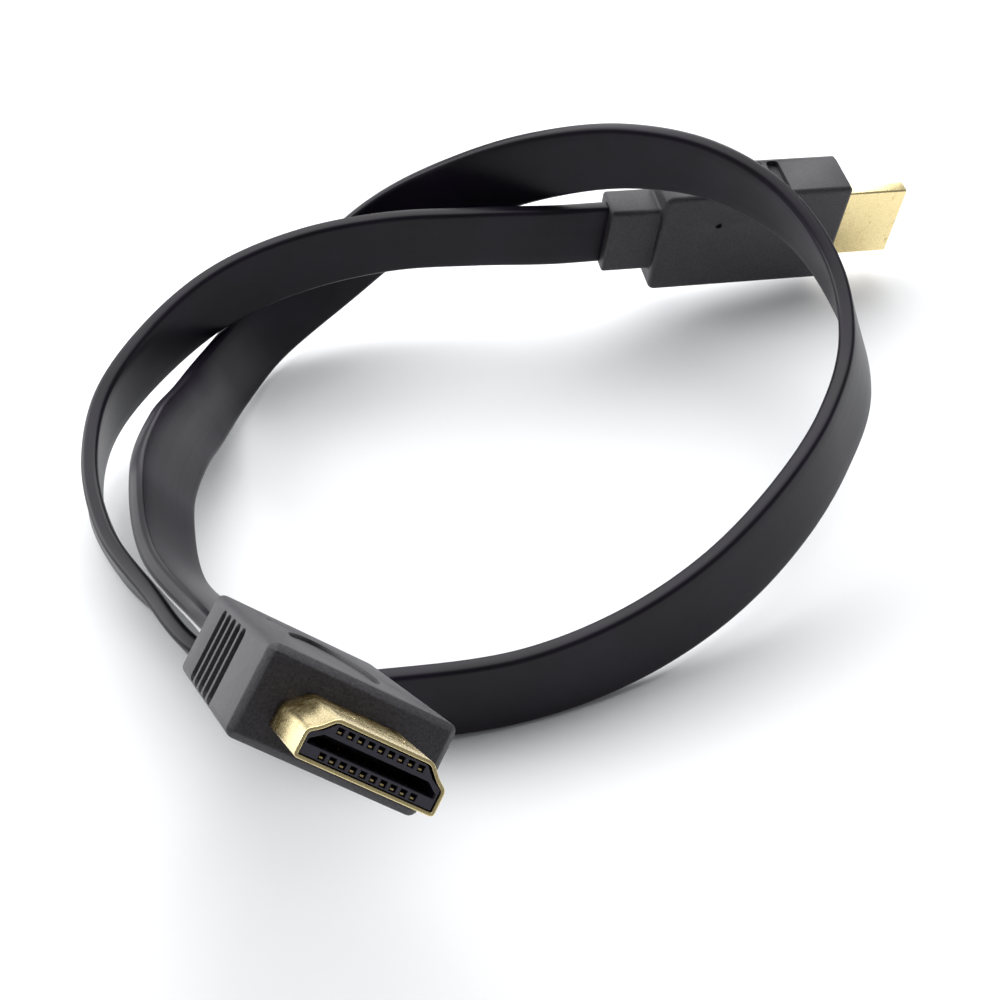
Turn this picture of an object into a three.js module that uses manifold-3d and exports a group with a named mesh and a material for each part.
// A short flat audio-video lead: a ribbon cable that stands on its edge in one loose loop, with a
// moulded 19-contact plug at each end. Millimetres, +Z up, origin at the bottom centre of the bounding box.
import * as THREE from "three";
import { mergeVertices } from "three/addons/utils/BufferGeometryUtils.js";
import Module from "manifold-3d";

const wasm = await Module();
wasm.setup();

// Flat cable: a soft black ribbon with rounded edges.
const ribbonWidth = 12;
const ribbonThick = 2.5;
const ribbonRound = 0.8;
const ribbonSteps = 80;
const endGap = 0.3; // between the ribbon's end face and its plug

// Moulded plug body, with the narrower strain relief behind it in the same moulding.
const bodyWidth = 20.4;
const bodyThick = 9.7;
const bodyLength = 34;
const bodyCorner = 1.2; // seen from its wide face, at the two front corners
const shoulderShare = 0.36; // of the step from body to relief, rounded at the two rear corners
const bodyEdge = 0.9; // rounding where the wide faces meet the sides
const reliefWidth = 13.2;
const reliefThick = 6.6;
const reliefLength = 9;
const filletShare = 0.32; // of the same step, filled at its foot

// Finger grooves across the two narrow sides of the body.
const grooveCount = 5;
const groovePitch = 3.1;
const grooveWidth = 2.1;
const grooveDepth = 0.6;
const groovePlainInset = 0.4; // from the plain wide face of the body
const grooveLabelInset = 1.05; // from the wide face with the oval recess
const grooveStart = 12.6; // from the body's front face to the middle of the first groove

// Oval label recess in one wide face, left bare.
const recessLength = 21;
const recessWidth = 9.4;
const recessDepth = 0.45;
const recessBack = 15.3; // from the body's front face to the middle of the oval

// Folded metal shell of the plug, seen from its mouth: a wide side, two low walls and a narrow side.
const shellWidth = 13.9;
const shellHeight = 4.45;
const shellWallHeight = 2.6;
const shellNarrow = 9.56;
const shellWall = 0.35;
const shellRound = 0.45;
const shellReach = 11.8; // out of the body
const shellDepth = 5; // into the body
const shellOffset = 2.45; // from the body's plain wide face to the shell's wide side
const fitGap = 0.12; // between shell and body, and between insulator and shell

// Spring slots in the narrow side of the shell.
const springSlotLength = 1.9;
const springSlotWidth = 0.3;
const springSlotSpan = 5.2; // between the middles of the two slots
const springSlotBack = 5.9; // from the mouth

// Insulator inside the shell, with a tongue slot between its two rows of contact holes.
const insulatorSetback = 0.1; // of its face behind the shell's mouth
const insulatorLength = 13.5;
const tongueWidth = 12.6;
const tongueFlatWidth = 10.4;
const tongueLow = 1.45; // heights of the slot above the shell's wide side
const tongueEnd = 1.9;
const tongueHigh = 2.7;
const tongueDepth = 8;

// Contact holes: ten along the wide side, nine along the narrow side, and the contacts in them.
const contactPitch = 1;
const wideRowCount = 10;
const wideRowHeight = 0.92;
const narrowRowCount = 9;
const narrowRowHeight = 3.46;
const holeSize = 0.66;
const holeDepth = 11.5;
const windowWidth = 0.46; // of the opening from a hole into the tongue slot
const windowFront = 1.1; // behind the insulator's face
const windowBack = 7.4;
const contactWidth = 0.34;
const contactThick = 0.16;
const contactTip = 0.25; // of the contact behind the insulator's face
const contactDrop = 0.13; // of every tip towards the wide side, off the middle of its hole
const contactTail = 11.2;
const contactBow = 0.8; // how far the contact bows out towards the slot
const contactPeak = 4.2; // of the bow, behind the insulator's face

// Route of the ribbon's middle, from the rear plug to the front plug: x, y, z, and the lean in degrees of
// its upper edge towards the inside of the loop.
const route = [
  [15.6, 65.7, 18.5, 12],
  [6.8, 64.1, 19.6, 12],
  [-6, 62.5, 21.4, 13],
  [-20.7, 61.7, 22.3, 12],
  [-35.5, 59.7, 21.3, 9],
  [-49.3, 54.8, 18.7, 9],
  [-60.4, 45.8, 14.6, 10],
  [-67.4, 33.2, 11.2, 12],
  [-67.7, 18.7, 8.5, 7],
  [-62.4, 5, 6.5, -9],
  [-53.8, -7.2, 6, -20],
  [-45.6, -19.6, 5.9, -17],
  [-33.3, -27.6, 6.4, -5],
  [-18.5, -29.1, 6.5, 1],
  [-3.8, -27.2, 6.1, 1],
  [10.2, -22.2, 6.8, 5],
  [22.9, -14.9, 9, 9],
  [33.9, -5.5, 12.5, 12],
  [42.8, 5.9, 15.9, 13],
  [48.8, 19.1, 19, 18],
  [49.2, 33.2, 23.7, 17],
  [43.9, 45.7, 29.7, 21],
  [33.3, 55.1, 33.9, 18],
  [19.8, 61.3, 34.7, 10],
  [5.9, 65.8, 32, 4],
  [-7.6, 69.4, 26.8, -1],
  [-20.6, 71.4, 20, -8],
  [-32.9, 69, 11.9, -14],
  [-44.2, 60.7, 7.3, -19],
  [-50.3, 47.2, 7, -24],
  [-52.4, 32.9, 10.6, -27],
  [-53.3, 18.9, 15.6, -29],
  [-53.3, 4.3, 18.2, -29],
  [-50.5, -9.8, 16, -31],
  [-42, -21.9, 16.8, -41],
  [-37.17, -29.72, 19.87, -45],
  [-35.31, -34.36, 23, -45],
];

const materials = {
  cable: new THREE.MeshStandardMaterial({ name: "black_pvc_jacket", color: 0x242228, roughness: 0.42 }),
  body: new THREE.MeshStandardMaterial({ name: "moulded_plug_body", color: 0x2b2a2c, roughness: 0.62 }),
  shell: new THREE.MeshStandardMaterial({ name: "plated_shell", color: 0xcfae5c, roughness: 0.28, metalness: 1 }),
  insulator: new THREE.MeshStandardMaterial({ name: "insulator", color: 0x2c2a33, roughness: 0.5 }),
  contact: new THREE.MeshStandardMaterial({ name: "plated_contact", color: 0xd9bd73, roughness: 0.3, metalness: 1 }),
};

// Solid from a closed three.js geometry, and a geometry from a solid.
function solid(geometry) {
  const bare = geometry.index ? geometry.toNonIndexed() : geometry.clone();
  bare.deleteAttribute("normal");
  bare.deleteAttribute("uv");
  const merged = mergeVertices(bare, 1e-4);
  return new wasm.Manifold(
    new wasm.Mesh({
      numProp: 3,
      vertProperties: merged.attributes.position.array,
      triVerts: new Uint32Array(merged.index.array),
    }),
  );
}

function geometryOf(made) {
  const mesh = made.getMesh();
  return new THREE.BufferGeometry()
    .setAttribute("position", new THREE.BufferAttribute(mesh.vertProperties, 3))
    .setIndex(new THREE.BufferAttribute(mesh.triVerts, 1));
}

function box(low, high) {
  const size = high.map((value, axis) => value - low[axis]);
  return new THREE.BoxGeometry(...size).translate(...low.map((value, axis) => value + size[axis] / 2));
}

// Closed outline through corner points [x, y, radius].
function roundedShape(corners, segments = 3) {
  const points = [];
  corners.forEach(([x, y, radius], i) => {
    const here = new THREE.Vector2(x, y);
    if (!radius) {
      points.push(here);
      return;
    }
    const before = new THREE.Vector2(...corners.at(i - 1)).sub(here).normalize();
    const after = new THREE.Vector2(...corners[(i + 1) % corners.length]).sub(here).normalize();
    const half = Math.acos(before.dot(after)) / 2;
    const from = here.clone().addScaledVector(before, radius / Math.tan(half));
    const to = here.clone().addScaledVector(after, radius / Math.tan(half));
    const centre = before.add(after).setLength(radius / Math.sin(half)).add(here);
    for (let k = 0; k <= segments; k++) {
      points.push(from.clone().lerp(to, k / segments).sub(centre).setLength(radius).add(centre));
    }
  });
  return new THREE.Shape(points);
}

// Plug frame: Z points out of the mouth from the cable's end, X runs along the shell's width, and Y points
// to the wide face with the oval recess. Y is 0 at the shell's wide side.
const bodyFront = reliefLength + bodyLength;
const mouth = bodyFront + shellReach;
const bodyLow = -shellOffset;
const bodyHigh = bodyLow + bodyThick;
const bodyMiddle = (bodyLow + bodyHigh) / 2;

function shellShape(inset) {
  const wide = shellWidth / 2 - inset;
  const narrow = shellNarrow / 2 - inset * 0.75;
  const round = Math.max(shellRound - inset, fitGap);
  const wall = shellWallHeight - inset * 0.35;
  const stepX = (wide + narrow) / 2 - 0.05;
  const stepY = (wall + shellHeight - inset) / 2 - 0.2;
  return roundedShape([
    [-wide, inset, round],
    [wide, inset, round],
    [wide, wall, round],
    [stepX, stepY, 0],
    [narrow, shellHeight - inset, round],
    [-narrow, shellHeight - inset, round],
    [-stepX, stepY, 0],
    [-wide, wall, round],
  ]);
}

function prism(shape, low, high) {
  return new THREE.ExtrudeGeometry(shape, { depth: high - low, bevelEnabled: false }).translate(0, 0, low);
}

// Body and strain relief: the outline seen from the wide face, cut to the outline seen from the side.
function bodyBlank() {
  const half = bodyWidth / 2;
  const neck = reliefWidth / 2;
  const shoulder = shoulderShare * (half - neck);
  const fillet = filletShare * (half - neck);
  const plan = roundedShape([
    [-neck, endGap, bodyEdge],
    [neck, endGap, bodyEdge],
    [neck, reliefLength, fillet],
    [half, reliefLength, shoulder],
    [half, bodyFront, bodyCorner],
    [-half, bodyFront, bodyCorner],
    [-half, reliefLength, shoulder],
    [-neck, reliefLength, fillet],
  ]);
  const slab = new THREE.ExtrudeGeometry(plan, {
    depth: bodyThick - 2 * bodyEdge,
    bevelThickness: bodyEdge,
    bevelSize: bodyEdge,
    bevelOffset: -bodyEdge,
    bevelSegments: 2,
  });
  slab.rotateX(Math.PI / 2).translate(0, bodyHigh - bodyEdge, 0);
  const over = 1; // of the side outline past the slab all round
  const thin = reliefThick / 2;
  const thick = bodyThick / 2 + over;
  const side = roundedShape([
    [-thin, -over, 0],
    [thin, -over, 0],
    [thin, reliefLength, fillet],
    [thick, reliefLength, 0],
    [thick, bodyFront + over, 0],
    [-thick, bodyFront + over, 0],
    [-thick, reliefLength, 0],
    [-thin, reliefLength, fillet],
  ]);
  const across = prism(side, -half - over, half + over);
  across.rotateX(Math.PI / 2).rotateZ(Math.PI / 2).translate(0, bodyMiddle, 0);
  return solid(slab).intersect(solid(across));
}

function plugBody() {
  let made = bodyBlank();
  made = made.subtract(solid(prism(shellShape(-fitGap), bodyFront - shellDepth - endGap, bodyFront + 1)));
  const oval = new THREE.Shape().absellipse(0, bodyFront - recessBack, recessWidth / 2, recessLength / 2);
  const recess = new THREE.ExtrudeGeometry(oval, { depth: 2 * recessDepth, bevelEnabled: false, curveSegments: 14 });
  made = made.subtract(solid(recess.rotateX(Math.PI / 2).translate(0, bodyHigh + recessDepth, 0)));
  for (const side of [-1, 1]) {
    for (let i = 0; i < grooveCount; i++) {
      const middle = bodyFront - grooveStart - i * groovePitch;
      const inner = (side * bodyWidth) / 2 - side * grooveDepth;
      const outer = (side * bodyWidth) / 2 + side;
      const groove = box(
        [Math.min(inner, outer), bodyLow + groovePlainInset, middle - grooveWidth / 2],
        [Math.max(inner, outer), bodyHigh - grooveLabelInset, middle + grooveWidth / 2],
      );
      made = made.subtract(solid(groove));
    }
  }
  return made;
}

function plugShell() {
  const back = bodyFront - shellDepth;
  let made = solid(prism(shellShape(0), back, mouth));
  made = made.subtract(solid(prism(shellShape(shellWall), back - 1, mouth + 1)));
  for (const side of [-1, 1]) {
    const middle = (side * springSlotSpan) / 2;
    const slot = box(
      [middle - springSlotLength / 2, shellHeight - 2 * shellWall, mouth - springSlotBack - springSlotWidth / 2],
      [middle + springSlotLength / 2, shellHeight + shellWall, mouth - springSlotBack + springSlotWidth / 2],
    );
    made = made.subtract(solid(slot));
  }
  return made;
}

// Places of the contacts across the plug: x, y of the hole's middle, and the way to the tongue slot.
function contactPlaces() {
  const row = (count, y, toSlot) =>
    Array.from({ length: count }, (_, i) => ({ x: (i - (count - 1) / 2) * contactPitch, y, toSlot }));
  return [...row(wideRowCount, wideRowHeight, 1), ...row(narrowRowCount, narrowRowHeight, -1)];
}

function plugInsulator() {
  const face = mouth - insulatorSetback;
  let made = solid(prism(shellShape(shellWall + fitGap), face - insulatorLength, face));
  const tongue = new THREE.Shape([
    new THREE.Vector2(-tongueWidth / 2, tongueLow),
    new THREE.Vector2(tongueWidth / 2, tongueLow),
    new THREE.Vector2(tongueWidth / 2, tongueEnd),
    new THREE.Vector2(tongueFlatWidth / 2, tongueHigh),
    new THREE.Vector2(-tongueFlatWidth / 2, tongueHigh),
    new THREE.Vector2(-tongueWidth / 2, tongueEnd),
  ]);
  made = made.subtract(solid(prism(tongue, face - tongueDepth, face + 1)));
  const slotMiddle = (tongueLow + tongueHigh) / 2;
  for (const { x, y } of contactPlaces()) {
    const hole = box(
      [x - holeSize / 2, y - holeSize / 2, face - holeDepth],
      [x + holeSize / 2, y + holeSize / 2, face + 1],
    );
    const window = box(
      [x - windowWidth / 2, Math.min(y, slotMiddle), face - windowBack],
      [x + windowWidth / 2, Math.max(y, slotMiddle), face - windowFront],
    );
    made = made.subtract(solid(hole)).subtract(solid(window));
  }
  return made;
}

// One contact: a bent strip that lies along its hole and bows out into the tongue slot.
function contactGeometry({ x, y, toSlot }) {
  const face = mouth - insulatorSetback;
  const seat = holeSize / 2 - contactThick - 0.06;
  const tip = -toSlot * contactDrop - contactThick / 2;
  const bend = [
    [contactTip, tip],
    [contactTip + 0.8, tip],
    [contactPeak, contactBow],
    [windowBack - 0.6, -seat],
    [contactTail, -seat],
  ];
  const upper = bend.map(([back, rise]) => new THREE.Vector2(rise + contactThick, back));
  const lower = bend.map(([back, rise]) => new THREE.Vector2(rise, back)).reverse();
  const strip = new THREE.ExtrudeGeometry(new THREE.Shape([...upper, ...lower]), {
    depth: contactWidth,
    bevelEnabled: false,
  });
  // The strip's profile is drawn as rise and distance back from the face.
  strip.translate(0, 0, -contactWidth / 2).applyMatrix4(
    new THREE.Matrix4().makeBasis(
      new THREE.Vector3(0, toSlot, 0),
      new THREE.Vector3(0, 0, -1),
      new THREE.Vector3(-toSlot, 0, 0),
    ),
  );
  return strip.translate(x, y, face);
}

// Ribbon path: smooth through the route, with the width of the ribbon kept upright but for its lean.
class RibbonPath extends THREE.CatmullRomCurve3 {
  constructor(points) {
    super(points.map(([x, y, z]) => new THREE.Vector3(x, y, z)), false, "catmullrom");
    const leans = points.map(([, , , lean]) => new THREE.Vector3(THREE.MathUtils.degToRad(lean), 0, 0));
    this.lean = new THREE.CatmullRomCurve3(leans, false, "catmullrom");
  }

  // Along, across (the ribbon's width, upwards) and outwards at a share of the length.
  frameAt(share) {
    const t = this.getUtoTmapping(share);
    const along = this.getTangent(t);
    const up = new THREE.Vector3(0, 0, 1).addScaledVector(along, -along.z).normalize();
    const across = up.applyAxisAngle(along, -this.lean.getPoint(t).x);
    return { along, across, outward: along.clone().cross(across) };
  }

  computeFrenetFrames(segments) {
    const frames = Array.from({ length: segments + 1 }, (_, i) => this.frameAt(i / segments));
    return {
      tangents: frames.map((frame) => frame.along),
      normals: frames.map((frame) => frame.across),
      binormals: frames.map((frame) => frame.outward),
    };
  }
}

const path = new RibbonPath(route);
path.arcLengthDivisions = 1200;

function ribbonGeometry() {
  const w = ribbonWidth / 2;
  const t = ribbonThick / 2;
  const section = roundedShape(
    [
      [-w, -t, ribbonRound],
      [w, -t, ribbonRound],
      [w, t, ribbonRound],
      [-w, t, ribbonRound],
    ],
    2,
  );
  return new THREE.ExtrudeGeometry(section, { steps: ribbonSteps, extrudePath: path });
}

function mesh(name, geometry, material) {
  const made = new THREE.Mesh(geometry, material);
  made.name = name;
  return made;
}

// One plug in its own frame, so that the middle of the body's back end meets the end of the ribbon.
function plug(end) {
  const group = new THREE.Group();
  group.add(mesh(`${end}_plug_body`, geometryOf(plugBody()), materials.body));
  group.add(mesh(`${end}_shell`, geometryOf(plugShell()), materials.shell));
  group.add(mesh(`${end}_insulator`, geometryOf(plugInsulator()), materials.insulator));
  contactPlaces().forEach((place, i) => {
    const name = `${end}_contact_${String(i + 1).padStart(2, "0")}`;
    group.add(mesh(name, contactGeometry(place), materials.contact));
  });
  group.children.forEach((piece) => piece.position.setY(-bodyMiddle));
  return group;
}

// Turns a plug so that its mouth points along tip and its recessed face along top.
function placePlug(group, at, tip, top) {
  const width = new THREE.Vector3().crossVectors(top, tip);
  group.quaternion.setFromRotationMatrix(new THREE.Matrix4().makeBasis(width, top, tip));
  group.position.copy(at);
}

const lead = new THREE.Group();
lead.name = "flat_lead";
lead.add(mesh("flat_cable", ribbonGeometry(), materials.cable));

const first = path.frameAt(0);
const rearPlug = plug("rear");
placePlug(rearPlug, path.getPointAt(0), first.along.clone().negate(), first.outward);
lead.add(rearPlug);

const last = path.frameAt(1);
const frontPlug = plug("front");
placePlug(frontPlug, path.getPointAt(1), last.along, last.outward.clone().negate());
lead.add(frontPlug);

export default lead;
